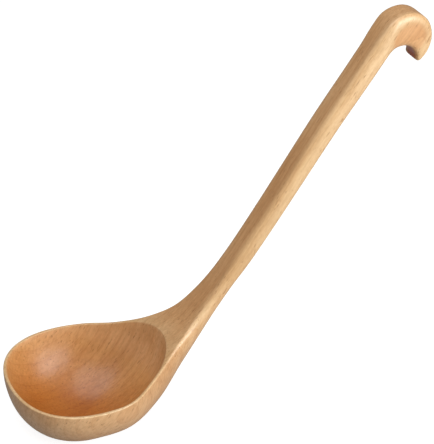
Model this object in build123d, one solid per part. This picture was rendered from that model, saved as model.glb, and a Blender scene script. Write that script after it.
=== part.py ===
from build123d import *

import math
import os

# A soup ladle carved from one piece of pale wood: a level bowl, a neck that flares out of the
# bowl's rim, a straight rounded handle, and a hooked end shaped like a beak.
# X runs from the nose of the bowl to the hook, Y runs across, and Z is up.
# The origin lies on the lowest point of the bowl, under its widest place.
# Lengths are in millimetres and angles in degrees. Shares and exponents have no unit.

# Bowl, outside
bowl_half_width = 42.0
nose_reach = 42.6
bowl_depth = 39.0
rim_exponent = 2.3
keel_exponent = 2.17

# Lip and hollow
lip_width = 2.4
lip_round = 1.0
lip_inner_round = 0.8
floor_thickness = 4.0
hollow_rear_reach = 48.5
hollow_rear_slope = 13.0
cut_overrun = 20.0

# Neck and handle in side view
sweep_start = 7.1
sweep_radius = 89.5
handle_angle = 56.8
handle_length = 159.0
neck_thickness = 10.2
handle_thickness = 12.9

# Handle and hook across
neck_half_width = 8.7
handle_half_width = 8.9
tip_half_width = 7.8

# Hook in side view
hook_inner_radius = 10.0
hook_outer_radius = 16.7
hook_outer_lag = 12.5
tip_round = 0.9
tip_corner = 2.5

# Rounding of the sections: how far each corner reaches in from the side and down from the top
quarter_round_share = 0.55
bowl_wall_share = 0.59
bowl_floor_share = 0.51
handle_corner_width_share = 0.49
handle_corner_height_share = 0.60
handle_wall_share = 0.68
handle_floor_share = 0.57
hook_corner_width_share = 0.38
hook_corner_height_share = 0.26
hook_wall_share = 0.90
hook_floor_share = 0.82

# Where the sections stand along the ladle, in steps that grow and shrink evenly
bowl_turns = (4.0, 13.0, 26.0, 42.0, 63.0, 90.0)
neck_turn_shares = (0.10, 0.30, 0.50, 0.68, 0.84, 1.0)
neck_width_shares = (0.937, 0.588, 0.276, 0.104, 0.036, 0.0)
neck_softness_shares = (0.0, 0.02, 0.07, 0.28, 0.47, 0.67)
grip_start_share = 0.10
grip_end_share = 0.94
hook_turn_shares = (0.0, 0.14, 0.30, 0.46, 0.62, 0.78, 0.92, 1.0)
hook_width_shares = (1.0, 1.0, 1.0, 1.0, 1.0, 1.0, 0.98, 0.95)
hook_bend_share = 0.33
tip_inset_share = 0.3

# Outline of the hollow: its shoulder beside the neck's edge, and the pulls of its curves
shoulder_station = 1
shoulder_share = 0.33
shoulder_lip_share = 0.8
side_pull_share = 0.42
shoulder_pull_share = 0.42
end_pull_share = 0.22
end_width_pull_share = 0.22
hollow_front_share = 0.64
hollow_turns = (6.0, 20.0, 38.0, 58.0, 76.0, 90.0)


def blend(first, last, share):
    """Value between two others."""
    return first + (last - first) * share


def turned(angle):
    """Unit vector in the side view, turned up from +X."""
    return Vector(math.cos(math.radians(angle)), 0, math.sin(math.radians(angle)))


def superellipse(along, reach, height, exponent):
    """Height of a superellipse above its axis, at a place along that axis."""
    share = min(1, abs(along / reach))
    return height * (1 - share**exponent) ** (1 / exponent)


def section(top, bottom, half_width, corner_width, corner_height, wall_share, floor_share):
    """Cross-section: a flat top, two round corners, and two walls that meet at the bottom.

    Each of its curves is a list of the points that pull it.
    """
    rise = (top - bottom).length
    upward = (top - bottom).normalized()
    shoulder = rise - corner_height
    flat = half_width - corner_width
    corner_in = half_width - corner_width * (1 - quarter_round_share)
    corner_up = shoulder + corner_height * quarter_round_share

    def place(across, height):
        return bottom + Vector(0, across, 0) + upward * height

    def corner(side):
        return [
            place(side * flat, rise),
            place(side * corner_in, rise),
            place(side * half_width, corner_up),
            place(side * half_width, shoulder),
        ]

    def wall(side):
        return [
            place(side * half_width, shoulder),
            place(side * half_width, shoulder * (1 - wall_share)),
            place(side * half_width * floor_share, 0),
            place(0, 0),
        ]

    return [[place(-flat, rise), place(flat, rise)], corner(1), wall(1), wall(-1), corner(-1)]


def bowl_section(along):
    """Upright section of the bowl, from its nose to its widest place."""
    half_width = superellipse(along, nose_reach, bowl_half_width, rim_exponent)
    depth = superellipse(along, nose_reach, bowl_depth, keel_exponent)
    slope_along = abs(along / nose_reach) ** (rim_exponent - 1) / nose_reach
    slope_across = (half_width / bowl_half_width) ** (rim_exponent - 1) / bowl_half_width
    squareness = slope_across / math.hypot(slope_along, slope_across)
    corner_width = min(lip_round / squareness, half_width * handle_corner_width_share)
    short_of_flat = max(0, lip_round - (along + nose_reach))
    corner_height = math.sqrt(lip_round**2 - short_of_flat**2)
    top = Vector(along, 0, bowl_depth - lip_round + corner_height)
    bottom = Vector(along, 0, bowl_depth - max(depth, lip_round))
    return section(
        top, bottom, half_width, corner_width, corner_height, bowl_wall_share, bowl_floor_share
    )


def sweep_end():
    """Place where the neck's curved top runs into the straight handle."""
    turn = math.radians(handle_angle)
    run = sweep_start + sweep_radius * math.sin(turn)
    return Vector(run, 0, bowl_depth + sweep_radius * (1 - math.cos(turn)))


def underside_point(top, downward):
    """Where a line from the top, across the neck, comes out underneath.

    Below the bowl the underside is a quarter ellipse. A straight line touches that ellipse and
    runs on as the underside of the handle.
    """
    outward = turned(handle_angle - 90)
    offset = outward.dot(sweep_end() - Vector(0, 0, bowl_depth)) + neck_thickness
    turn = math.radians(handle_angle)
    reach_squared = (offset**2 - (bowl_depth * math.cos(turn)) ** 2) / math.sin(turn) ** 2
    touch = reach_squared * math.sin(turn) / offset
    start = top - Vector(0, 0, bowl_depth)
    square = downward.X**2 / reach_squared + downward.Z**2 / bowl_depth**2
    half = start.X * downward.X / reach_squared + start.Z * downward.Z / bowl_depth**2
    rest = start.X**2 / reach_squared + start.Z**2 / bowl_depth**2 - 1
    length = (-half + math.sqrt(max(0, half**2 - square * rest))) / square
    if (start + downward * length).X > touch:
        length = (offset - start.dot(outward)) / downward.dot(outward)
    return top + downward * length


def neck_section(turn_share, width_share, softness):
    """Section across the neck, square to its curved top."""
    angle = handle_angle * turn_share
    upward = turned(angle + 90)
    centre = Vector(sweep_start, 0, bowl_depth + sweep_radius)
    top = centre - upward * sweep_radius
    bottom = underside_point(top, -upward)
    half_width = blend(neck_half_width, bowl_half_width, width_share)
    rise = (top - bottom).length
    return section(
        top,
        bottom,
        half_width,
        blend(lip_round, half_width * handle_corner_width_share, softness),
        blend(lip_round, rise * handle_corner_height_share, softness),
        blend(bowl_wall_share, handle_wall_share, turn_share),
        blend(bowl_floor_share, handle_floor_share, turn_share),
    )


def handle_section(share):
    """Section of the straight handle, at a share of its length."""
    along = turned(handle_angle)
    upward = turned(handle_angle + 90)
    top = sweep_end() + along * handle_length * share
    rise = blend(neck_thickness, handle_thickness, share)
    half_width = blend(neck_half_width, handle_half_width, share)
    return section(
        top,
        top - upward * rise,
        half_width,
        half_width * handle_corner_width_share,
        rise * handle_corner_height_share,
        handle_wall_share,
        handle_floor_share,
    )


def hook_centres():
    """Centres of the hook's inner and outer arcs."""
    along = turned(handle_angle)
    upward = turned(handle_angle + 90)
    end_top = sweep_end() + along * handle_length
    inner = end_top - upward * (handle_thickness + hook_inner_radius)
    outer = end_top + along * hook_outer_lag - upward * hook_outer_radius
    return inner, outer


def hook_thickness(ray):
    """Thickness of the hook along a ray from the centre of its inner arc."""
    inner, outer = hook_centres()
    apart = outer - inner
    facing = ray.dot(turned(handle_angle + 90))
    if facing > 0:
        to_line = (handle_thickness + hook_inner_radius) / facing
        if (ray * to_line - apart).dot(turned(handle_angle)) < 0:
            return to_line - hook_inner_radius
    passed = apart.dot(ray)
    to_arc = passed + math.sqrt(passed**2 + hook_outer_radius**2 - apart.length**2)
    return to_arc - hook_inner_radius


def hook_end_turn():
    """Turn from the handle's end to the section where the beak is as thin as its tip."""
    inner, outer = hook_centres()
    apart = outer - inner
    reach = hook_inner_radius + 2 * tip_round
    cosine = (apart.length**2 + reach**2 - hook_outer_radius**2) / (2 * apart.length * reach)
    lean = math.degrees(math.atan2(apart.Z, apart.X))
    return handle_angle + 90 - lean + math.degrees(math.acos(cosine))


def hook_section(turn_share, width_share):
    """Section of the hook, square to its inner arc."""
    inner, _ = hook_centres()
    ray = turned(handle_angle + 90 - hook_end_turn() * turn_share)
    rise = hook_thickness(ray)
    half_width = blend(handle_half_width, tip_half_width, turn_share) * width_share
    bent = min(1, turn_share / hook_bend_share)
    return section(
        inner + ray * (hook_inner_radius + rise),
        inner + ray * hook_inner_radius,
        half_width,
        half_width * blend(handle_corner_width_share, hook_corner_width_share, bent),
        rise * blend(handle_corner_height_share, hook_corner_height_share, bent),
        blend(handle_wall_share, hook_wall_share, bent),
        blend(handle_floor_share, hook_floor_share, bent),
    )


def tip_section(inset_share):
    """Section of the rounded edge that ends the hook, at a share of its round."""
    inner, _ = hook_centres()
    ray = turned(handle_angle + 90 - hook_end_turn())
    onward = turned(handle_angle - hook_end_turn())
    round_share = math.sqrt(1 - (1 - inset_share) ** 2)
    middle = inner + ray * (hook_inner_radius + tip_round) + onward * tip_round * (1 - inset_share)
    half_width = tip_half_width * hook_width_shares[-1] - tip_corner * (1 - round_share)
    return section(
        middle + ray * tip_round * round_share,
        middle - ray * tip_round * round_share,
        half_width,
        half_width * hook_corner_width_share,
        2 * tip_round * round_share * hook_corner_height_share,
        hook_wall_share,
        hook_floor_share,
    )


def mean_gap(first, last):
    """Mean distance between the matching points of two sections."""
    pairs = [pair for curves in zip(first, last) for pair in zip(*curves)]
    return sum((after - before).length for before, after in pairs) / len(pairs)


def slope_between(first, last):
    """How far each point moves from one section to the next, for each millimetre between them."""
    gap = mean_gap(first, last)
    return [
        [(after - before) * (1 / gap) for before, after in zip(*curves)]
        for curves in zip(first, last)
    ]


def slope_through(before, here, after):
    """Slope at a section, from the slopes on both sides, the nearer one counting for more."""
    near = mean_gap(here, after) / (mean_gap(before, here) + mean_gap(here, after))
    sides = zip(slope_between(before, here), slope_between(here, after))
    return [[entering * near + leaving * (1 - near) for entering, leaving in zip(*side)] for side in sides]


def smooth_slopes(sections):
    """Slope at each of a row of sections."""
    inner = [slope_through(*three) for three in zip(sections, sections[1:], sections[2:])]
    return [slope_between(*sections[:2])] + inner + [slope_between(*sections[-2:])]


def stretch(first, last, first_slope, last_slope):
    """The faces between two sections, one for each curve, which leave and arrive at given slopes."""
    pull = mean_gap(first, last) / 3
    faces = []
    for start, end, leaving, arriving in zip(first, last, first_slope, last_slope):
        after_start = [point + slope * pull for point, slope in zip(start, leaving)]
        before_end = [point - slope * pull for point, slope in zip(end, arriving)]
        faces.append(Face.make_bezier_surface([start, after_start, before_end, end]))
    return faces


def skin(sections, slopes):
    """Smooth faces through a row of sections."""
    ends = zip(sections, sections[1:], slopes, slopes[1:])
    return [face for end in ends for face in stretch(*end)]


def cap(one_section):
    """The flat face that closes the skin at its first or last section."""
    return Face(Wire([Bezier(*curve) for curve in one_section]))


def outer_body():
    """The ladle before its bowl is hollowed."""
    front = [bowl_section(-nose_reach * math.cos(math.radians(turn))) for turn in bowl_turns]
    neck = zip(neck_turn_shares, neck_width_shares, neck_softness_shares)
    front += [neck_section(*shares) for shares in neck]
    front.append(handle_section(grip_start_share))
    rear = [handle_section(grip_end_share)]
    rear += [hook_section(*shares) for shares in zip(hook_turn_shares, hook_width_shares)]
    rear.append(tip_section(tip_inset_share))
    straight = slope_between(front[-1], rear[0])
    faces = skin(front, smooth_slopes(front)[:-1] + [straight])
    faces += [Face.make_bezier_surface([*curves]) for curves in zip(front[-1], rear[0])]
    faces += skin(rear, [straight] + smooth_slopes(rear)[1:])
    return Solid(Shell(faces + [cap(front[0]), cap(rear[-1])]))


def neck_edge(station):
    """Place of the neck's edge at one of its sections, seen from above.

    It is brought back by as much as the end of the hollow leans at that height.
    """
    turn = math.radians(handle_angle * neck_turn_shares[station])
    climb = sweep_radius * (1 - math.cos(turn))
    lean = climb * math.tan(math.radians(hollow_rear_slope))
    across = blend(neck_half_width, bowl_half_width, neck_width_shares[station])
    return Vector(sweep_start + sweep_radius * math.sin(turn) - lean, across)


def hollow_outline(level, size_share, lean):
    """Level outline of the hollow: a round front, straighter sides and a rounded rear end.

    Each side has a shoulder, less than a lip's width inside the edge of the neck.
    """
    half_width = bowl_half_width - lip_width
    front = nose_reach - lip_width
    rear = hollow_rear_reach + lean
    first_edge = neck_edge(shoulder_station)
    run = (neck_edge(shoulder_station + 1) - first_edge).normalized()
    edge = blend(first_edge, neck_edge(shoulder_station + 1), shoulder_share)
    inward = Vector(run.Y, -run.X) * lip_width * shoulder_lip_share
    shoulder = edge + inward + Vector(lean, 0)

    def half(side):
        def place(point):
            return Vector(point.X * size_share, side * point.Y * size_share, level)

        front_curve = [
            Vector(-front, 0),
            Vector(-front, half_width * hollow_front_share),
            Vector(-front * hollow_front_share, half_width),
            Vector(0, half_width),
        ]
        side_curve = [
            Vector(0, half_width),
            Vector(rear * side_pull_share, half_width),
            shoulder - run * rear * shoulder_pull_share,
            shoulder,
        ]
        end_curve = [
            shoulder,
            shoulder + run * rear * end_pull_share,
            Vector(rear, half_width * end_width_pull_share),
            Vector(rear, 0),
        ]
        return [[place(point) for point in curve] for curve in (front_curve, side_curve, end_curve)]

    return half(-1) + half(1)


def hollow():
    """The space inside the bowl, carried on above the rim to clear the rising neck."""
    depth = bowl_depth - floor_thickness
    outlines = []
    for turn in hollow_turns:
        size_share = math.sin(math.radians(turn)) ** (2 / keel_exponent)
        sink_share = math.cos(math.radians(turn)) ** (2 / keel_exponent)
        outlines.append(hollow_outline(bowl_depth - depth * sink_share, size_share, 0))
    lean = cut_overrun * math.tan(math.radians(hollow_rear_slope))
    outlines.append(hollow_outline(bowl_depth + cut_overrun, 1, lean))
    faces = skin(outlines, smooth_slopes(outlines))
    return Solid(Shell(faces + [cap(outlines[0]), cap(outlines[-1])]))


def ladle():
    """The whole ladle, with the inner edge of its lip rounded."""
    body = outer_body()
    space = hollow()
    carved = body - space
    rim = new_edges(body, space, combined=carved)
    return fillet(rim, lip_inner_round)


os.makedirs("parts", exist_ok=True)
finished = ladle()
finished.label = "ladle"
export_step(finished, "parts/ladle.step")
print("size", finished.bounding_box().size, "volume", finished.volume)
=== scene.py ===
import math

import bmesh
import bpy
import numpy as np
from mathutils import Matrix, Vector


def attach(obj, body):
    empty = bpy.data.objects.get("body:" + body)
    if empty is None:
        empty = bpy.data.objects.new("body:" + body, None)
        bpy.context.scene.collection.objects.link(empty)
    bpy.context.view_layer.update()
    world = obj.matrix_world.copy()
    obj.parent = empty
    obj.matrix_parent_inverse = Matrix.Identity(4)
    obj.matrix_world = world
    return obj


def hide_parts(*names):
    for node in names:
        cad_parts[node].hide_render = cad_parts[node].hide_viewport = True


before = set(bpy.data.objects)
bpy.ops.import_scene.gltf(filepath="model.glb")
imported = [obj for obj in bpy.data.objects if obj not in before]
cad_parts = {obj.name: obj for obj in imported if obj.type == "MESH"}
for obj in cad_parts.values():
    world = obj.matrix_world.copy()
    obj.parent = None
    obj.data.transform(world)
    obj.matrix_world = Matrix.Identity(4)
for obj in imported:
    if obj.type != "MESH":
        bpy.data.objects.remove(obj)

print("Blender", bpy.app.version_string)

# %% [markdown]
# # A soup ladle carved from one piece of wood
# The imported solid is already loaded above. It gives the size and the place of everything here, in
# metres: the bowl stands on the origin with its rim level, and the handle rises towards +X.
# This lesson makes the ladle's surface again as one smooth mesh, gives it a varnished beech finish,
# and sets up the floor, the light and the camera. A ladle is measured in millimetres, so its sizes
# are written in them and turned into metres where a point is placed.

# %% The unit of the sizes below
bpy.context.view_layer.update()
mm = 0.001

# %% [markdown]
# ## The camera
# The photograph fits a long lens almost a metre off. The camera stands on the -Y side, a little
# towards the nose of the bowl, looks down by about a third of a right angle, and is turned a little
# about its own axis. It could be placed by hand, but the view is built from those angles and from
# the point that it looks at, because they are easier to correct than a matrix of numbers.

# %% Camera at the photograph's viewing angle
VIEW = dict(turn=-28.128, tilt=33.191, roll=3.534, distance=921.616, lens=133.57, sensor=36.0)
turn, tilt, roll = (math.radians(VIEW[name]) for name in ("turn", "tilt", "roll"))
target = Vector((82.957, 1.987, 117.296)) * mm
back = Vector((math.sin(turn) * math.cos(tilt), -math.cos(turn) * math.cos(tilt), math.sin(tilt)))
level = Vector((math.cos(turn), math.sin(turn), 0))
rise = back.cross(level)
right = level * math.cos(roll) + rise * math.sin(roll)
up = rise * math.cos(roll) - level * math.sin(roll)
camera_data = bpy.data.cameras.new("camera")
camera_data.lens = VIEW["lens"]
camera_data.sensor_width = VIEW["sensor"]
camera = bpy.data.objects.new("camera", camera_data)
facing = Matrix((right, up, back)).transposed().to_4x4()
camera.matrix_world = Matrix.Translation(target + back * VIEW["distance"] * mm) @ facing
bpy.context.scene.collection.objects.link(camera)
bpy.context.scene.camera = camera
print("camera at", [round(v, 3) for v in camera.location])

# %% [markdown]
# ## The sections of the ladle
# A carver thinks of a ladle as a row of cross-sections: wide and thin-lipped over the bowl, flat on
# top where the neck flares, almost round along the handle, and boxy in the hook. It could be
# sculpted by eye, but a loft through sections has numbers that can be checked against the
# photograph. Half a section is pulled by seven points: the end of its flat top, two for the corner,
# the top of its wall, two for the wall, and its lowest point. Between two sections those seven
# points glide on smooth curves, and a surface made from so few points has no lumps.

# %% How round the sections are
# A corner takes a share of half the width and a share of the height, and its pulls are shares of it.
CORNER = dict(grip=(0.53, 0.62), hook=(0.36, 0.26), pulls=(0.45, 0.55))
# Rounding says how far down the wall's pull lies, and how far out the floor's, again as shares.
ROUNDING = dict(bowl=(0.56, 0.49), grip=(0.73, 0.50), hook=(0.98, 0.92))
print("corners", CORNER, "rounding", ROUNDING)


# %% One half section, from its seven points
def half_section(top, bottom, half_width, corner_width, corner_height, wall, floor):
    height = (top - bottom).length
    upward = (top - bottom).normalized()
    shoulder = height - corner_height
    inward, above = CORNER["pulls"]
    pulls = [
        (half_width - corner_width, height),
        (half_width - corner_width * inward, height),
        (half_width, shoulder + corner_height * above),
        (half_width, shoulder),
        (half_width, shoulder * (1 - wall)),
        (half_width * floor, 0),
        (0, 0),
    ]
    return np.array([bottom + Vector((0, across, 0)) + upward * h for across, h in pulls])


def blend(first, last, share):
    return first + (last - first) * share


def heading(angle):
    """A direction in the side view, by its angle above +X."""
    return Vector((math.cos(math.radians(angle)), 0, math.sin(math.radians(angle))))


example = half_section(Vector((0, 0, 3)), Vector(), 2, 1, 1, 0.5, 0.5)
print("the seven points of a section 4 wide and 3 high:", example[:, 1:].round(2).tolist())

# %% [markdown]
# ### The bowl
# The real bowl is round with a thin lip. Seen from above it is a superellipse, a little squarer than
# an ellipse, and so is its keel seen from the side. Half a sphere would be quicker, but the real
# bowl is a little fuller than that all round. Each upright section is as wide and as deep as those
# two curves say. Its upper corners are the small rounding on the outside of the lip, which shows its
# true radius only where the section cuts the lip square, so it is stretched where the cut is slanted.

# %% Sections of the bowl, from the nose to the widest place
BOWL = dict(half_width=41.9, reach=41.9, depth=39.2, rim_power=2.28, keel_power=2.15)
LIP = dict(width=1.75, outer_round=0.6, inner_round=0.5)


def oval(along, height, power):
    return height * (1 - min(1, abs(along / BOWL["reach"])) ** power) ** (1 / power)


def bowl_section(along):
    reach, lip_round = BOWL["reach"], LIP["outer_round"]
    half_width = oval(along, BOWL["half_width"], BOWL["rim_power"])
    depth = oval(along, BOWL["depth"], BOWL["keel_power"])
    # How square the cut is: one at the widest place, and less towards the nose.
    power = BOWL["rim_power"] - 1
    slope_along = abs(along / reach) ** power / reach
    slope_across = (half_width / BOWL["half_width"]) ** power / BOWL["half_width"]
    squareness = slope_across / math.hypot(slope_along, slope_across)
    corner_width = min(lip_round / squareness, half_width * CORNER["grip"][0])
    # Right behind the nose the rounding hasn't risen to its full height yet.
    short = max(0, lip_round - (along + reach))
    corner_height = math.sqrt(lip_round**2 - short**2)
    top = Vector((along, 0, BOWL["depth"] - lip_round + corner_height))
    bottom = Vector((along, 0, BOWL["depth"] - max(depth, lip_round)))
    return half_section(top, bottom, half_width, corner_width, corner_height, *ROUNDING["bowl"])


bowl_turns = (1.5, 4, 8, 13, 19, 26, 34, 42, 52, 63, 76, 90)
bowl_rows = [bowl_section(-BOWL["reach"] * math.cos(math.radians(t))) for t in bowl_turns]
print("bowl", 2 * BOWL["half_width"], "mm wide,", BOWL["depth"], "mm deep, sections", len(bowl_rows))

# %% [markdown]
# ### The neck
# The neck is the web of wood between the bowl and the handle. Its top leaves the level rim on one
# long arc, and the underside of the bowl is an ellipse that runs out into the handle's straight
# underside. Most of the narrowing from the bowl's width to the handle's is done by the middle of the
# sweep, and the crisp upper edge slowly softens into the round of the grip. Both could be drawn with
# many free sections. An arc and an ellipse that touches a line need only a few numbers and can't
# ripple.

# %% The arc on top of the neck, and the curve below it
SWEEP = dict(start=7.6, radius=89.3, angle=57.37)
GRIP = dict(length=158.3, thickness=(10.1, 12.7), half_width=(8.87, 8.84))


def sweep_end():
    a = math.radians(SWEEP["angle"])
    along = SWEEP["start"] + SWEEP["radius"] * math.sin(a)
    return Vector((along, 0, BOWL["depth"] + SWEEP["radius"] * (1 - math.cos(a))))


def underside(top, downward):
    """Where a cut from the top comes out below: on the ellipse, or past it on the straight line."""
    outward = heading(SWEEP["angle"] - 90)
    a = math.radians(SWEEP["angle"])
    deep = BOWL["depth"]
    offset = outward.dot(sweep_end() - Vector((0, 0, deep))) + GRIP["thickness"][0]
    reach_squared = (offset**2 - (deep * math.cos(a)) ** 2) / math.sin(a) ** 2
    touch = reach_squared * math.sin(a) / offset
    start = top - Vector((0, 0, deep))
    square = downward.x**2 / reach_squared + downward.z**2 / deep**2
    half = start.x * downward.x / reach_squared + start.z * downward.z / deep**2
    rest = start.x**2 / reach_squared + start.z**2 / deep**2 - 1
    length = (-half + math.sqrt(max(0, half**2 - square * rest))) / square
    if (start + downward * length).x > touch:
        length = (offset - start.dot(outward)) / downward.dot(outward)
    return top + downward * length


print("the sweep ends at", [round(v, 1) for v in sweep_end()], "mm")

# %% Sections of the neck
# share of the sweep, share of the bowl's width, softness of the upper edge, wall, floor, sunk by
NECK = (
    (0.10, 0.924, 0.00, 0.62, 0.53, 0.0),
    (0.30, 0.611, 0.02, 0.67, 0.33, 0.0),
    (0.50, 0.290, 0.08, 0.55, 0.35, -0.5),
    (0.68, 0.106, 0.29, 0.62, 0.44, -0.4),
    (0.84, 0.035, 0.51, 0.70, 0.49, -0.9),
    (1.00, 0.000, 0.65, 0.73, 0.50, -0.25),
)


def neck_section(share, width_share, softness, wall, floor, sunk):
    upward = heading(SWEEP["angle"] * share + 90)
    top = Vector((SWEEP["start"], 0, BOWL["depth"] + SWEEP["radius"])) - upward * SWEEP["radius"]
    bottom = underside(top, -upward)
    half_width = blend(GRIP["half_width"][0], BOWL["half_width"], width_share)
    height = (top - bottom).length
    corner_width = blend(LIP["outer_round"], half_width * CORNER["grip"][0], softness)
    corner_height = blend(LIP["outer_round"], height * CORNER["grip"][1], softness)
    section = half_section(top, bottom, half_width, corner_width, corner_height, wall, floor)
    return section - np.array(upward * sunk)


neck_rows = [neck_section(*row) for row in NECK]
print("neck sections", len(neck_rows))

# %% [markdown]
# ### The handle
# The handle is a straight rounded bar that thickens a little towards the hook. A tapered box with
# bevelled edges would be near it, but its edges would end abruptly at the neck, where the real ones
# fade. As more sections of the same seven points, it joins the neck without a seam. A carved handle
# is never quite straight, so its sections lie a fraction of a millimetre above or below the line.

# %% Sections of the handle
# share of the handle's length, sunk by
GRIP_PLACES = ((0.10, 0.05), (0.25, 0.4), (0.45, 0.0), (0.70, -0.6), (0.94, 0.0))


def grip_section(share, sunk):
    upward = heading(SWEEP["angle"] + 90)
    top = sweep_end() + heading(SWEEP["angle"]) * GRIP["length"] * share
    height = blend(*GRIP["thickness"], share)
    half_width = blend(*GRIP["half_width"], share)
    corner = half_width * CORNER["grip"][0], height * CORNER["grip"][1]
    section = half_section(top, top - upward * height, half_width, *corner, *ROUNDING["grip"])
    return section - np.array(upward * sunk)


grip_rows = [grip_section(*row) for row in GRIP_PLACES]
print("handle", GRIP["length"], "mm long, sections", len(grip_rows))

# %% [markdown]
# ### The hook
# The handle ends in a beak that hangs over a pot's rim. Its inside is a true arc that the rim can
# lie in. Its outside is a larger arc about another centre, so that the beak is thickest over the
# bend and sharpens towards its tip. It could be a bar bent with a modifier, but that keeps the same
# thickness all the way. Here each section is cut along a ray from the centre of the inner arc.

# %% The two centres of the hook, and its thickness along a ray
# The lag is how far past the handle's end the outer arc's centre lies.
HOOK = dict(inner=10.4, outer=16.9, lag=12.57, tip_half_width=7.57, tip_round=0.9, tip_corner=4.0)


def hook_centres():
    along, upward = heading(SWEEP["angle"]), heading(SWEEP["angle"] + 90)
    end_top = sweep_end() + along * GRIP["length"]
    inner = end_top - upward * (GRIP["thickness"][1] + HOOK["inner"])
    return inner, end_top + along * HOOK["lag"] - upward * HOOK["outer"]


inner_centre, outer_centre = hook_centres()
apart = outer_centre - inner_centre


def hook_thickness(ray):
    """From the inner arc to the handle's top line at first, and then to the outer arc."""
    facing_up = ray.dot(heading(SWEEP["angle"] + 90))
    if facing_up > 0:
        to_line = (GRIP["thickness"][1] + HOOK["inner"]) / facing_up
        if (ray * to_line - apart).dot(heading(SWEEP["angle"])) < 0:
            return to_line - HOOK["inner"]
    passed = apart.dot(ray)
    return passed + math.sqrt(passed**2 + HOOK["outer"] ** 2 - apart.length**2) - HOOK["inner"]


tip_reach = HOOK["inner"] + 2 * HOOK["tip_round"]
tip_cosine = (apart.length**2 + tip_reach**2 - HOOK["outer"] ** 2) / (2 * apart.length * tip_reach)
past_outer = math.degrees(math.acos(tip_cosine))
hook_turn = SWEEP["angle"] + 90 - math.degrees(math.atan2(apart.z, apart.x)) + past_outer
print("centres", round(apart.length, 2), "mm apart, the hook turns by", round(hook_turn, 1), "degrees")

# %% Sections of the hook
# how far along the hook, and how wide there, as shares
HOOK_PLACES = (
    (0.0, 1.0), (0.14, 1.0), (0.30, 1.0), (0.46, 1.0),
    (0.62, 1.0), (0.78, 0.99), (0.92, 0.95), (1.0, 0.88),
)
BOXY_FROM = 0.33


def hook_section(share, width_share):
    ray = heading(SWEEP["angle"] + 90 - hook_turn * share)
    height = hook_thickness(ray)
    half_width = blend(GRIP["half_width"][1], HOOK["tip_half_width"], share) * width_share
    boxy = min(1, share / BOXY_FROM)
    bottom = inner_centre + ray * HOOK["inner"]
    corner_width, corner_height = (blend(a, b, boxy) for a, b in zip(CORNER["grip"], CORNER["hook"]))
    rounding = (blend(a, b, boxy) for a, b in zip(ROUNDING["grip"], ROUNDING["hook"]))
    corner = half_width * corner_width, height * corner_height
    return half_section(bottom + ray * height, bottom, half_width, *corner, *rounding)


hook_rows = [hook_section(*row) for row in HOOK_PLACES]
print("hook sections", len(hook_rows))

# %% Sections of the rounded tip, the last ones very near the end
TIP_INSETS = (0.45, 0.15, 0.03)


def tip_section(inset):
    ray, onward = heading(SWEEP["angle"] + 90 - hook_turn), heading(SWEEP["angle"] - hook_turn)
    tip_round, share = HOOK["tip_round"], math.sqrt(1 - (1 - inset) ** 2)
    middle = inner_centre + ray * (HOOK["inner"] + tip_round) + onward * tip_round * (1 - inset)
    half_width = HOOK["tip_half_width"] * HOOK_PLACES[-1][1] - HOOK["tip_corner"] * (1 - share)
    corner_width, corner_height = CORNER["hook"]
    half_height = ray * tip_round * share
    corner = half_width * corner_width, 2 * tip_round * share * corner_height
    ends = middle + half_height, middle - half_height
    return half_section(*ends, half_width, *corner, *ROUNDING["hook"])


tip_rows = [tip_section(inset) for inset in TIP_INSETS]
print("tip sections", len(tip_rows))

# %% [markdown]
# ### Gliding from section to section
# Carved wood has no steps, so each of the seven points moves on a cubic curve from one section to
# the next, and leaves and arrives at a slope worked out from both neighbours. Straight runs would
# show a crease at every section. The nearer neighbour counts for more in the slope, which keeps
# unevenly spaced sections from making the surface swing. The end of the flat top and the top of the
# wall count double in the distance between sections, because two curves meet in each of them.

# %% All sections in a row, and the smooth path of the seven points
rows = np.array(bowl_rows + neck_rows + grip_rows + hook_rows + tip_rows)
weights = np.array([2, 1, 1, 2, 1, 1, 1]) / 9
gaps = np.array([(np.linalg.norm(b - a, axis=1) * weights).sum() for a, b in zip(rows, rows[1:])])
steps = (rows[1:] - rows[:-1]) / gaps[:, None, None]
slopes = np.concatenate([steps[:1], steps[1:], steps[-1:]])
for i in range(1, len(rows) - 1):
    near = gaps[i] / (gaps[i - 1] + gaps[i])
    slopes[i] = steps[i - 1] * near + steps[i] * (1 - near)


def seven_points(place):
    """The pulls of the section at a place along the row, counted in sections."""
    i = min(int(place), len(gaps) - 1)
    s, pull = place - i, gaps[i]
    a, b = rows[i], rows[i + 1]
    return (
        a * (2 * s**3 - 3 * s**2 + 1) + b * (3 * s**2 - 2 * s**3)
        + slopes[i] * pull * (s**3 - 2 * s**2 + s) + slopes[i + 1] * pull * (s**3 - s**2)
    )


grip_start = len(bowl_rows) + len(neck_rows)
grip_end = grip_start + len(grip_rows) - 1
tip_start = len(gaps) - len(tip_rows)
print("row of", len(rows), "sections, longest gap", round(gaps.max(), 1), "mm")

# %% [markdown]
# ## The outline of the hollow
# The hollow is what holds the soup. From above it is round in front, runs a lip's width inside the
# bowl's edge, turns in at a shoulder on each side and closes in a rounded end on the neck. The tool
# that cut it leaned back a little, so above the level rim the end lies further back. The hollow
# could be cut with a boolean, but that leaves ragged faces along its edge. Three curves that share
# their ends and slopes give an outline that the mesh can follow exactly.

# %% Outline of the hollow
# The rear and the floor are places along and up, and the lean is a slope.
HOLLOW = dict(rear=47.8, lean=math.tan(math.radians(13.0)), floor=4.2, rim_turn=77.0, power=2.15)
PULL = dict(front=0.64, side=0.35, shoulder=0.42, end=0.20, end_width=0.24)
SHOULDER = dict(along=0.19, inward=0.95)


def curve(points, t):
    """A cubic curve from the first point to the last, pulled by the two between them."""
    a, b, c, d = (np.array(p) for p in points)
    t = np.asarray(t)[..., None]
    return a * (1 - t) ** 3 + 3 * b * t * (1 - t) ** 2 + 3 * c * t**2 * (1 - t) + d * t**3


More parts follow.
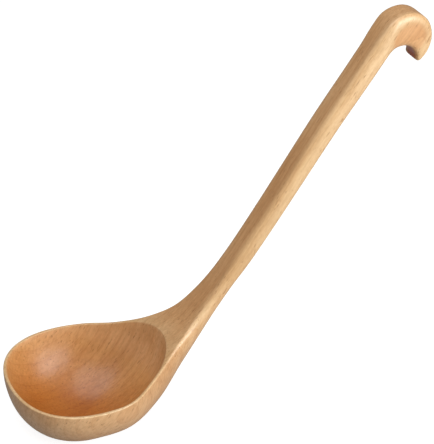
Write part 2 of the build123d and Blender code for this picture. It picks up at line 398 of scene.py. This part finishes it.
def neck_edge(station):
    """The neck's edge at one of its sections, seen from above and brought down to the rim."""
    share, width_share = NECK[station][:2]
    a = math.radians(SWEEP["angle"] * share)
    climb = SWEEP["radius"] * (1 - math.cos(a))
    along = SWEEP["start"] + SWEEP["radius"] * math.sin(a) - climb * HOLLOW["lean"]
    return np.array([along, blend(GRIP["half_width"][0], BOWL["half_width"], width_share)])


run = neck_edge(2) - neck_edge(1)
run = run / np.linalg.norm(run)
inwards = np.array([run[1], -run[0]]) * LIP["width"] * SHOULDER["inward"]
shoulder = blend(neck_edge(1), neck_edge(2), SHOULDER["along"]) + inwards
front, side = BOWL["reach"] - LIP["width"], BOWL["half_width"] - LIP["width"]


def outline(t, above):
    """Half outline from the nose (0) over the widest place (1) and the shoulder (2) to the end (3)."""
    shift = above * HOLLOW["lean"]
    rear = HOLLOW["rear"] + shift
    knee = shoulder + np.array([shift, 0])
    turning_in, turned = knee - run * rear * PULL["shoulder"], knee + run * rear * PULL["end"]
    curves = [
        [(-front, 0), (-front, side * PULL["front"]), (-front * PULL["front"], side), (0, side)],
        [(0, side), (rear * PULL["side"], side), turning_in, knee],
        [knee, turned, (rear, side * PULL["end_width"]), (rear, 0)],
    ]
    i = min(int(t), 2)
    return curve(curves[i], t - i)


print("hollow from", outline(0, 0).round(2), "to", outline(3, 0).round(2))
print("shoulder at", shoulder.round(2))

# %% [markdown]
# ### The wall of the hollow
# Inside, the wall comes down steeply from the lip and turns into a round floor. A straight wall with
# a rounded corner would look turned on a machine. Instead the outline shrinks along a rounded
# profile, slowly under the rim and quickly near the floor. A turn in degrees says where on that
# profile a point lies, from the rim's turn down to nothing at the floor.

# %% A point of the wall
def wall_point(t, wall_turn):
    a, top = math.radians(wall_turn), math.radians(HOLLOW["rim_turn"])
    flat = outline(t, 0) * (math.sin(a) / math.sin(top)) ** (2 / HOLLOW["power"])
    deep = (math.cos(a) - math.cos(top)) / (1 - math.cos(top))
    return np.array([*flat, BOWL["depth"] - (BOWL["depth"] - HOLLOW["floor"]) * deep])


half_turned = wall_point(1, HOLLOW["rim_turn"] / 2)
print("at half its turn, below the widest place, the wall is at", half_turned.round(1), "mm")

# %% [markdown]
# ## The edge of the mouth
# The mouth is the edge where the hollow's lip meets the ladle's top. The top climbs along the neck
# and the hollow leans back with it, so each depends on the other. A few rounds of looking up the
# height and moving the outline settle that, which is simpler than solving it. The edge then lies one
# rounding of the lip outside the outline.

# %% Height of the ladle's top, looked up along its length
LOOKED_UP = 4001
fine_places = np.linspace(0, len(gaps), LOOKED_UP)
tops = np.array([seven_points(place)[0] for place in fine_places])


def top_height(x):
    return np.interp(x, tops[:, 0], tops[:, 2])


print("the top climbs from", round(tops[0, 2], 1), "to", round(tops[:, 2].max(), 1), "mm")

# %% The outline on the top, and the edge outside it
ROUNDS, NEIGHBOUR, OUTLINE_STEPS = 6, 0.01, 360
outline_places = np.linspace(0, 3, OUTLINE_STEPS + 1)


def edge_of_mouth(t):
    """At a place along the outline: its x and y on the top, and then the edge's."""
    point = outline(t, 0)
    for _ in range(ROUNDS):
        point = outline(t, max(0, top_height(point[0]) - BOWL["depth"]))
    above = max(0, top_height(point[0]) - BOWL["depth"])
    ahead = outline(min(3, t + NEIGHBOUR), above) - outline(max(0, t - NEIGHBOUR), above)
    outwards = np.array([-ahead[1], ahead[0]]) / np.linalg.norm(ahead)
    if t == 0 or t == 3:
        outwards = np.array([-1.0 if t == 0 else 1.0, 0.0])
    return [*point, *(point + outwards * LIP["inner_round"])]


edge = np.array([edge_of_mouth(t) for t in outline_places])
mouth_front, mouth_rear = edge[0, 2], edge[-1, 2]
print("the mouth is open from", round(mouth_front, 2), "to", round(mouth_rear, 2), "mm")

# %% [markdown]
# ## Where the mesh has its rings
# The body will be a row of rings, one for each cross-section of the mesh. Over the bowl their middle
# points fall on the edge of the mouth. Then the mouth can be opened by taking out one strip of
# faces, and its edge is a clean loop, not a staircase. Near the nose and near the rear end the edge
# runs across, so the rings crowd together there, as the points of an evenly divided circle do.

# %% Places of the rings, counted in sections
RINGS = dict(nose=7, front=43, rear=45, neck=28, grip=41, hook=42, tip=8)
ROOM_BEHIND = 20


def quarter(count):
    return np.radians(np.linspace(0, 90, count))


def onward(first, last, count):
    """Even places after the first one, up to the last."""
    return list(np.linspace(first, last, count)[1:])


mouth_x = np.concatenate([
    mouth_front * np.cos(quarter(RINGS["front"]))[:-1],
    mouth_rear * np.sin(quarter(RINGS["rear"])),
])
past_mouth = np.argmax(tops[:, 0] > mouth_rear + ROOM_BEHIND)
mouth_places = np.interp(mouth_x, tops[:past_mouth, 0], fine_places[:past_mouth])
nose_places = list(np.linspace(0, mouth_places[0], RINGS["nose"])[:-1])
places = nose_places + list(mouth_places) + onward(mouth_places[-1], grip_start, RINGS["neck"])
places += onward(grip_start, grip_end, RINGS["grip"]) + onward(grip_end, tip_start, RINGS["hook"])
places += onward(tip_start, len(gaps), RINGS["tip"])
first_open, last_open = len(nose_places), len(nose_places) + len(mouth_places) - 1
print("rings", len(places), "of which", len(mouth_places), "cross the mouth")

# %% [markdown]
# ### The cheeks of the hook
# Both sides of the hook were sanded flat and a little hollow, and the flat ends in a round edge that
# shows as a pale band. They could be cut as shallow discs, with an edge to bevel afterwards. A value
# that is one on the cheek and fades to nothing over its edge is enough for both the shape and,
# later, the painted shade on the cheek.

# %% Cheek of the hook
CHEEK = dict(middle=(190.6, 216.7), flat=8.8, edge=11.6, sunk=0.45)


def cheek(points):
    from_middle = np.hypot(points[:, 0] - CHEEK["middle"][0], points[:, 2] - CHEEK["middle"][1])
    share = np.clip((CHEEK["edge"] - from_middle) / (CHEEK["edge"] - CHEEK["flat"]), 0, 1)
    return share * share * (3 - 2 * share)


print("cheek", 2 * CHEEK["flat"], "mm across, sunk by", CHEEK["sunk"], "mm")

# %% [markdown]
# ### The points of one ring
# Every ring has the same number of points, so that faces can join point to point: two on the flat
# top, a few round the corner, and more down the wall. The innermost point is on the edge of the
# mouth over the bowl. Elsewhere it lies near the middle, where nothing needs to be opened. Resampling
# each ring evenly would be simpler, but then the crisp edge of the neck would wander over the mesh.

# %% One ring of points
CORNER_STEPS, WALL_STEPS = 6, 18
NEAR_MIDDLE = 0.12


def ring_points(place, index):
    """Points round one section, from the middle of its top over +Y to the bottom, and back over -Y."""
    pulls = seven_points(place)
    flat_end = pulls[0]
    if first_open <= index <= last_open:
        half = np.interp(flat_end[0], edge[:, 2], edge[:, 3])
    else:
        half = flat_end[1] * NEAR_MIDDLE
    across = np.array([half, blend(half, flat_end[1], 0.5)])
    top = np.stack([np.full(2, flat_end[0]), across, np.full(2, flat_end[2])], 1)
    corner = curve(pulls[0:4], np.linspace(0, 1, CORNER_STEPS + 1))
    wall = curve(pulls[3:7], np.linspace(0, 1, WALL_STEPS + 1))[1:]
    one_side = np.concatenate([top, corner, wall])
    one_side[:, 1] -= CHEEK["sunk"] * cheek(one_side) * one_side[:, 1] / HOOK["tip_half_width"]
    return np.concatenate([one_side, one_side[:-1][::-1] * [1, -1, 1]]) * mm


ring_size = len(ring_points(0, 0))
print("points in a ring", ring_size)

# %% [markdown]
# ### How much painted shade a point gets
# The wood is painted deeper in tone where shade falls on it. The painted shade is deepest under the
# hook, and a little deeper on the hook's cheeks, along the top past the bowl and round the outside of
# the bowl. That could be painted as an image. A number kept on each point of the mesh does the same
# without one, because the material can read it, and it fades over a few points or millimetres.

# %% Painted shade of a point of the body
# Painted shade: how deep it is on the top, round the outside of the bowl and on the hook's cheeks.
PAINTED_SHADE_BY_PLACE = dict(top=0.42, outside=0.36, cheek=0.42)
HOOK_FADE = dict(start=1.2, over=1.5)
TOP_FADE = dict(start=38, over=22, points=4)
BOWL_FADE = dict(end=95, over=50, points=3)
UNDER_FADE = dict(full=1.3, fall=2.2)


def rising(value, start, over):
    """Nothing up to the start, one when the value is that much past it, and even in between."""
    return min(1, max(0, (value - start) / over))


def painted_shade_of(k, place, x, on_cheek):
    """Of the ring's point number k, with the ring's place in sections and its x in millimetres."""
    from_bottom = abs(k - (ring_size - 1) / 2)
    from_top = min(k, ring_size - k)
    # Painted shade under the hook, on the top past the bowl, round the outside of the bowl and on the
    # cheeks; the deepest counts.
    under = UNDER_FADE["full"] - UNDER_FADE["fall"] * from_bottom / WALL_STEPS
    under = rising(place - grip_end, HOOK_FADE["start"], HOOK_FADE["over"]) * rising(under, 0, 1)
    above = PAINTED_SHADE_BY_PLACE["top"] * rising(x, TOP_FADE["start"], TOP_FADE["over"])
    above *= rising(CORNER_STEPS - from_top, 0, TOP_FADE["points"])
    outside = PAINTED_SHADE_BY_PLACE["outside"] * rising(BOWL_FADE["end"] - x, 0, BOWL_FADE["over"])
    outside *= rising(from_top, CORNER_STEPS, BOWL_FADE["points"])
    return max(under, above, outside, PAINTED_SHADE_BY_PLACE["cheek"] * on_cheek)


print("shelter on top of the handle", painted_shade_of(0, grip_start, 100, 0))

# %% [markdown]
# ## Pulling the body
# The body is one ring that is extruded again and again, as a jeweller pulls a tube: a circle of
# edges is made, its points are put on the first section, and each new copy of the ring is put on the
# next one. The faces between them come from the extrusion, so none has to be listed by hand.

# %% Extrude a closed row of points
bm = bmesh.new()
# Each point keeps how much painted shade the wood gets there.
painted_shade = bm.verts.layers.float.new("painted_shade")


def edges_round(row):
    return [bm.edges.get((here, there)) for here, there in zip(row, row[1:] + row[:1])]


def follow_on(row):
    """Extrude a closed row of points and give the new points in the same order."""
    made = bmesh.ops.extrude_edge_only(bm, edges=edges_round(row))["geom"]
    fresh = {v for v in made if isinstance(v, bmesh.types.BMVert)}
    return [next(e.other_vert(v) for e in v.link_edges if e.other_vert(v) in fresh) for v in row]


ring = bmesh.ops.create_circle(bm, cap_ends=False, segments=ring_size, radius=mm)["verts"]
print("first ring", len(ring), "points,", len(bm.edges), "edges")

# %% The ladle's body as a chain of extruded rings
rings = []
for index, place in enumerate(places):
    if index:
        ring = follow_on(ring)
    points = ring_points(place, index)
    on_cheek = cheek(points / mm)
    for k, (vert, point) in enumerate(zip(ring, points)):
        vert.co = point
        vert[painted_shade] = painted_shade_of(k, place, points[0][0] / mm, on_cheek[k])
    rings.append(ring)
print("body", len(bm.verts), "points", len(bm.faces), "faces")

# %% [markdown]
# ## Opening the mouth
# On the real ladle the hollow is cut into the solid top. Here the strip of faces between the two
# middle rows of points is taken out over the bowl. At the nose and on the neck the strip ends in two
# points, which are welded into one, so that the mouth closes in a round end and not in a slot.

# %% Take out the strip over the bowl
middle = ring_size - 1
strip = [
    f for i in range(first_open, last_open) for f in rings[i][0].link_faces
    if {rings[i][0], rings[i][middle], rings[i + 1][0], rings[i + 1][middle]} == set(f.verts)
]
bmesh.ops.delete(bm, geom=strip, context="FACES_ONLY")
loose = [e for e in bm.edges if not e.link_faces]
bmesh.ops.delete(bm, geom=loose, context="EDGES")
left = [rings[i][0] for i in range(first_open, last_open + 1)]
other = [rings[i][middle] for i in range(first_open, last_open + 1)]
bmesh.ops.weld_verts(bm, targetmap={other[0]: left[0], other[-1]: left[-1]})
mouth = left + other[1:-1][::-1]
print("mouth of", len(mouth), "points, taken out", len(strip), "faces")

# %% [markdown]
# ## Carving the hollow
# From the mouth's edge the surface goes round the lip in a few small steps, then down the wall, and
# closes in one point at the middle of the floor. A line is worked out for each point of the mouth,
# divided evenly by length, and the mouth is extruded down those lines step by step. So the inside
# and the outside are one closed skin, and the lip is as thick all round as the two outlines say.

# %% The line that each point of the mouth follows down to the floor
LIP_STEPS, DOWN_STEPS = 5, 30
ABOVE_RIM, BELOW_RIM = 12, 240


def spread(count):
    return np.linspace(0, 1, count + 1)[1:]


def line_down(t, side):
    wall_x, _, edge_x, edge_y = (np.interp(t, outline_places, edge[:, k]) for k in range(4))
    above = max(0, top_height(wall_x) - BOWL["depth"])
    leaning = np.linspace(1, 0, ABOVE_RIM)
    line = [np.array([*outline(t, above * s), BOWL["depth"] + above * s]) for s in leaning]
    line += [wall_point(t, a) for a in np.linspace(HOLLOW["rim_turn"], 0, BELOW_RIM)[1:]]
    line = np.array(line)
    along = np.concatenate([[0], np.cumsum(np.linalg.norm(np.diff(line, axis=0), axis=1))])

    def after(length):
        return np.array([np.interp(length, along, line[:, k]) for k in range(3)])

    start = np.array([edge_x, edge_y, top_height(edge_x)])
    rim, under = line[0], after(LIP["inner_round"])
    lip = [start * (1 - s) ** 2 + 2 * rim * s * (1 - s) + under * s**2 for s in spread(LIP_STEPS)]
    down = [after(blend(LIP["inner_round"], along[-1], s)) for s in spread(DOWN_STEPS)]
    return np.array(lip + down) * [1, side, 1] * mm


mouth_t = [np.interp(v.co.x / mm, edge[:, 2], outline_places) for v in mouth]
lines = [line_down(t, 1 if k < len(left) else -1) for k, t in enumerate(mouth_t)]
print("each line has", len(lines[0]), "steps")

# %% [markdown]
# ### The painted shade inside
# Inside the bowl the wood is painted deepest and warmest of all, as painted shade and painted warm
# bounce light, most of all low on the front wall, and it grows paler towards the rim and the neck.
# The lip itself is nearly as pale as the outside. One slope upwards and one along the ladle, held
# between two limits, say that well enough.

# %% Extrude the mouth down its lines
# Painted shade and warm bounce light inside the bowl: pale on the lip, deepest low at the front.
INSIDE = dict(lip=0.2, deepest=0.8, palest=0.34, at_zero=0.88, upwards=0.0115, along=0.003)


def painted_shade_inside(point):
    tone = INSIDE["at_zero"] - INSIDE["upwards"] * point[2] / mm - INSIDE["along"] * point[0] / mm
    return min(INSIDE["deepest"], max(INSIDE["palest"], tone))


loop = mouth
for step in range(LIP_STEPS + DOWN_STEPS - 1):
    loop = follow_on(loop)
    past_lip = min(1, step / (LIP_STEPS + 1))
    for vert, line in zip(loop, lines):
        vert.co = line[step]
        vert[painted_shade] = blend(INSIDE["lip"], painted_shade_inside(line[step]), past_lip)
print("inside, the mesh has", len(bm.verts), "points by now")

# %% Close the floor and both ends of the body
floor_face = bmesh.ops.contextual_create(bm, geom=edges_round(loop))["faces"]
bmesh.ops.poke(bm, faces=floor_face)
for end in (rings[0], rings[-1]):
    bmesh.ops.contextual_create(bm, geom=edges_round(end))
bmesh.ops.recalc_face_normals(bm, faces=bm.faces)
print("open edges", sum(e.is_boundary for e in bm.edges))
print("volume", round(bm.calc_volume() / mm**3), "cubic millimetres")

# %% [markdown]
# ## The finished mesh
# Sanded wood has no facets, so the faces are shaded smooth and one level of subdivision rounds what
# lies between the rings. More rings would do the same, but the modifier keeps the chain above short.

# %% Finish the mesh
mesh = bpy.data.meshes.new("carved_ladle")
bm.to_mesh(mesh)
bm.free()
mesh.polygons.foreach_set("use_smooth", [True] * len(mesh.polygons))
ladle = bpy.data.objects.new("carved_ladle", mesh)
bpy.context.scene.collection.objects.link(ladle)
smooth = ladle.modifiers.new("smooth", "SUBSURF")
smooth.levels = smooth.render_levels = 1
print("faces before smoothing", len(mesh.polygons))

# %% [markdown]
# ## Varnished beech
# The wood is pale beech under a satin varnish. Its fibres run along the handle, and the growth rings
# lie flat in the plane of the side view, so on top of the handle they show as straight lines and in
# the bowl as fine streaks that run down the wall. An image would have to be wrapped round the bowl
# and would show a seam. A solid pattern cut by the surface gives all of that at once, as in real
# wood, so the material reads the object's own coordinates, turned until one axis lies along the
# fibres.

# %% The wood material, with its coordinates turned along the fibres
wood = bpy.data.materials.new("varnished_beech")
wood.use_nodes = True
nodes, links = wood.node_tree.nodes, wood.node_tree.links
shader = nodes["Principled BSDF"]


def node(kind, inputs=None, **settings):
    """Add a node with its own settings and with the values of its inputs."""
    made = nodes.new("ShaderNode" + kind)
    for name, value in settings.items():
        setattr(made, name, value)
    for name, value in (inputs or {}).items():
        made.inputs[name].default_value = value
    return made


def moved(source, **values):
    """The coordinates of a source, moved, turned or scaled by a Mapping node."""
    made = node("Mapping", values)
    links.new(source, made.inputs["Vector"])
    return made.outputs["Vector"]


fibre_turn = (0, -math.radians(SWEEP["angle"]), 0)
along_fibres = node("Mapping", {"Rotation": fibre_turn}, vector_type="TEXTURE")
links.new(node("TexCoord").outputs["Object"], along_fibres.inputs["Vector"])
fibres = along_fibres.outputs["Vector"]
print("fibres run", SWEEP["angle"], "degrees above the floor")


# %% Helpers: a noise that is drawn out along the fibres, a ramp of colours, and a darkening
def noise(scale, detail=3.0, roughness=0.55):
    """Noise with so many grains per metre along the fibres, across them, and upright to both."""
    made = node("TexNoise", {"Scale": 1.0, "Detail": detail, "Roughness": roughness})
    links.new(moved(fibres, Scale=scale), made.inputs["Vector"])
    return made.outputs["Fac"]


def ramp(source, stops):
    made = node("ValToRGB")
    elements = made.color_ramp.elements
    for i, (at, colour) in enumerate(stops):
        element = elements[i] if i < 2 else elements.new(at)
        element.position = at
        element.color = (*colour, 1)
    links.new(source, made.inputs["Fac"])
    return made.outputs["Color"]


def darken(colour, by, amount):
    """A colour multiplied by another one, by a share of the full strength."""
    made = node("MixRGB", {"Fac": amount}, blend_type="MULTIPLY")
    links.new(colour, made.inputs["Color1"])
    links.new(by, made.inputs["Color2"])
    return made.outputs["Color"]


WHITE = (1.0, 1.0, 1.0)
print("helpers for noise, ramps and darkening are ready")

# %% [markdown]
# ### Tone
# No two strips of a board have quite the same tone, so the base colour drifts softly between a paler
# and a deeper straw. One flat colour would look like plastic. The clouds are a few centimetres long
# and narrower across, and their three colours come from a ramp.

# %% Soft clouds of paler and deeper wood, drawn out along the fibres
clouds = noise((14, 60, 45), detail=3)
STRAWS = [(0.30, (0.76, 0.485, 0.235)), (0.5, (0.84, 0.57, 0.30)), (0.70, (0.90, 0.655, 0.38))]
tone = ramp(clouds, STRAWS)
print("tone from", len(STRAWS), "colours")

# %% [markdown]
# ### Growth rings
# A tree adds one ring a year, and the late wood at the end of each is a little darker. The billet
# was cut far from the middle of a thick trunk, so the rings are wide arcs about a pith that lies far
# beside the ladle. Parallel stripes would do on the handle, but in the bowl they would look printed.

# %% Thin darker lines around a pith far beside the ladle
YEAR = {"Scale": 68.0, "Distortion": 3.0, "Detail": 2.0, "Detail Scale": 0.35}
pith = moved(fibres, Location=(0, 0.21, 0.035))
year = node("TexWave", YEAR, wave_type="RINGS", rings_direction="X", wave_profile="SAW")
links.new(pith, year.inputs["Vector"])
LATE = [(0.62, WHITE), (0.9, (0.95, 0.90, 0.86)), (1.0, (0.88, 0.80, 0.72))]
late_wood = ramp(year.outputs["Fac"], LATE)
WAVE_LENGTH = math.tau / 20  # in metres, of a wave texture whose scale is 1
print("growth rings every", round(WAVE_LENGTH / YEAR["Scale"] / mm, 1), "mm")

# %% [markdown]
# ### Fibres and flecks
# Close up, beech shows fine streaks along its fibres, and short dark dashes, which tell it from
# other pale woods. Under them lies a faint speckle of pores. Scratches could be cut into the mesh,
# but they are finer than any face. Three noises of their own scale, each pressed into a narrow ramp,
# give lines, dashes and dots.

# %% Fine streaks, short dark dashes, and pores
fibre = noise((45, 900, 700), detail=5, roughness=0.62)
streaks = ramp(fibre, [(0.34, (0.76, 0.68, 0.60)), (0.60, WHITE)])
dashes = noise((190, 1500, 900), detail=1)
flecks = ramp(dashes, [(0.26, (0.58, 0.46, 0.36)), (0.36, WHITE)])
pores = noise((420, 800, 800), detail=2)
speckle = ramp(pores, [(0.32, (0.86, 0.81, 0.74)), (0.62, WHITE)])
print("streaks, flecks and speckle: 3 noises")

# %% [markdown]
# ### Painted shade in the colour
# Under the hook, on its cheeks, along the top and round the bowl the wood is painted redder and
# darker as painted shade, and inside the bowl as painted shade and painted warm bounce light. The
# number that each point keeps is turned into a colour, from white for no change to a deep orange,
# and the tone is multiplied by it. Mixing with one dark colour would grey the wood instead. Then the
# late wood, the streaks, the flecks and the speckle each take away a little more.

# %% From the painted shade of a point to the colour of the wood
# Painted shade: the number kept on each point is read back and turned into a darkening colour.
painted_shade_amount = node("Attribute", attribute_name="painted_shade")
painted_shade_colour = ramp(painted_shade_amount.outputs["Fac"], [
    (0.0, WHITE), (0.42, (0.916, 0.752, 0.63)), (0.5, (0.86, 0.66, 0.46)),
    (0.65, (0.76, 0.50, 0.27)), (0.8, (0.67, 0.33, 0.085)), (1.0, (0.60, 0.17, 0.02)),
])
colour = darken(tone, painted_shade_colour, 1.0)
for layer, amount in ((late_wood, 0.75), (streaks, 0.55), (flecks, 0.7), (speckle, 0.5)):
    colour = darken(colour, layer, amount)
links.new(colour, shader.inputs["Base Color"])
print("colour: 5 layers over the tone")

# %% [markdown]
# ### Satin varnish
# The varnish doesn't quite fill the wood: the dark streaks shine less, and the surface is faintly
# uneven. So the roughness follows the fibres, a coat gives the broad soft highlight, and a bump of
# a fraction of a millimetre breaks it up. Real dents would need a far finer mesh.

# %% Roughness, coat and a slightly uneven surface
sheen = node("MapRange", {"From Min": 0.3, "From Max": 0.7, "To Min": 0.52, "To Max": 0.36})
links.new(fibre, sheen.inputs["Value"])
links.new(sheen.outputs["Result"], shader.inputs["Roughness"])
shader.inputs["Coat Weight"].default_value = 0.5
shader.inputs["Coat Roughness"].default_value = 0.27
ripples = noise((240, 420, 420), detail=2)
half_fibre = node("Math", operation="MULTIPLY")
half_fibre.inputs[1].default_value = 0.5
links.new(fibre, half_fibre.inputs[0])
height = node("Math", operation="ADD")
links.new(half_fibre.outputs["Value"], height.inputs[0])
links.new(ripples, height.inputs[1])
uneven = node("Bump", {"Strength": 0.36, "Distance": 0.0003})
links.new(height.outputs["Value"], uneven.inputs["Height"])
links.new(uneven.outputs["Normal"], shader.inputs["Normal"])
links.new(uneven.outputs["Normal"], shader.inputs["Coat Normal"])
print("wood material", len(nodes), "nodes")

# %% [markdown]
# ### The finish on the ladle
# The mesh gets the wood, and is then tied to the frame: it moves with the one body, takes the slot
# that the record calls wood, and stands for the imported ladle, which is hidden and stays for contact.

# %% Tie the ladle to the frame
mesh.materials.append(wood)
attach(ladle, "root")
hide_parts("ladle")
print("the ladle has", len(mesh.materials), "material")

# %% [markdown]
# ## Floor
# The photograph has a plain white ground. A large pale floor carries a faint shadow, and it looks
# white to the camera because it glows a little for the camera alone, not because more light falls on
# the ladle. A brighter lamp would wash out the wood.

# %% A large sheet of white paper
floor_bm = bmesh.new()
bmesh.ops.create_grid(floor_bm, x_segments=1, y_segments=1, size=6.0)
floor_mesh = bpy.data.meshes.new("floor")
floor_bm.to_mesh(floor_mesh)
floor_bm.free()
floor = bpy.data.objects.new("floor", floor_mesh)
bpy.context.scene.collection.objects.link(floor)
print("floor", round(floor.dimensions.x, 1), "m wide")

# %% Paper that glows for the camera
PAPER_GREY, GLOW = 0.42, 0.85
paper = bpy.data.materials.new("white_paper")
paper.use_nodes = True
paper_nodes, paper_links = paper.node_tree.nodes, paper.node_tree.links
paper_shader = paper_nodes["Principled BSDF"]
paper_shader.inputs["Base Color"].default_value = (PAPER_GREY, PAPER_GREY, PAPER_GREY, 1)
paper_shader.inputs["Roughness"].default_value = 1.0
paper_shader.inputs["Specular IOR Level"].default_value = 0.0
paper_shader.inputs["Emission Color"].default_value = (*WHITE, 1)
light_path = paper_nodes.new("ShaderNodeLightPath")
glow = paper_nodes.new("ShaderNodeMath")
glow.operation = "MULTIPLY"
glow.inputs[1].default_value = GLOW
paper_links.new(light_path.outputs["Is Camera Ray"], glow.inputs[0])
paper_links.new(glow.outputs["Value"], paper_shader.inputs["Emission Strength"])
floor_mesh.materials.append(paper)
print("paper glows by", GLOW)

# %% [markdown]
# ## Light
# The photograph has soft light with one broad highlight in the bowl. Small lamps would give hard
# shadows and pinpoints. A large round softbox on the near right gives the highlight, a larger one
# overhead fills the shadows, and a dim white world keeps the underside from going black.

# %% World
WORLD_LIGHT = 0.18
world = bpy.data.worlds.new("studio")
bpy.context.scene.world = world
world.use_nodes = True
background = world.node_tree.nodes["Background"]
background.inputs["Color"].default_value = (*WHITE, 1)
background.inputs["Strength"].default_value = WORLD_LIGHT
print("world at", WORLD_LIGHT)


# %% Lamps
def softbox(name, place, aim, size, power):
    data = bpy.data.lights.new(name, "AREA")
    data.shape = "DISK"
    data.size = size
    data.energy = power
    lamp = bpy.data.objects.new(name, data)
    aimed = (Vector(aim) - Vector(place)).to_track_quat("-Z", "Y").to_matrix().to_4x4()
    lamp.matrix_world = Matrix.Translation(place) @ aimed
    bpy.context.scene.collection.objects.link(lamp)
    return lamp


centre = Vector((0.08, 0, 0.10))
overhead = Vector((-0.30, -0.22, 0.92)) * 1.3
key = softbox("key", Vector((0.51, -0.77, 0.38)), centre, size=0.7, power=7.4)
fill = softbox("fill", centre + overhead, centre, size=1.4, power=10.6)
bpy.context.scene.view_settings.view_transform = "Standard"
print("lamps", key.name, fill.name)
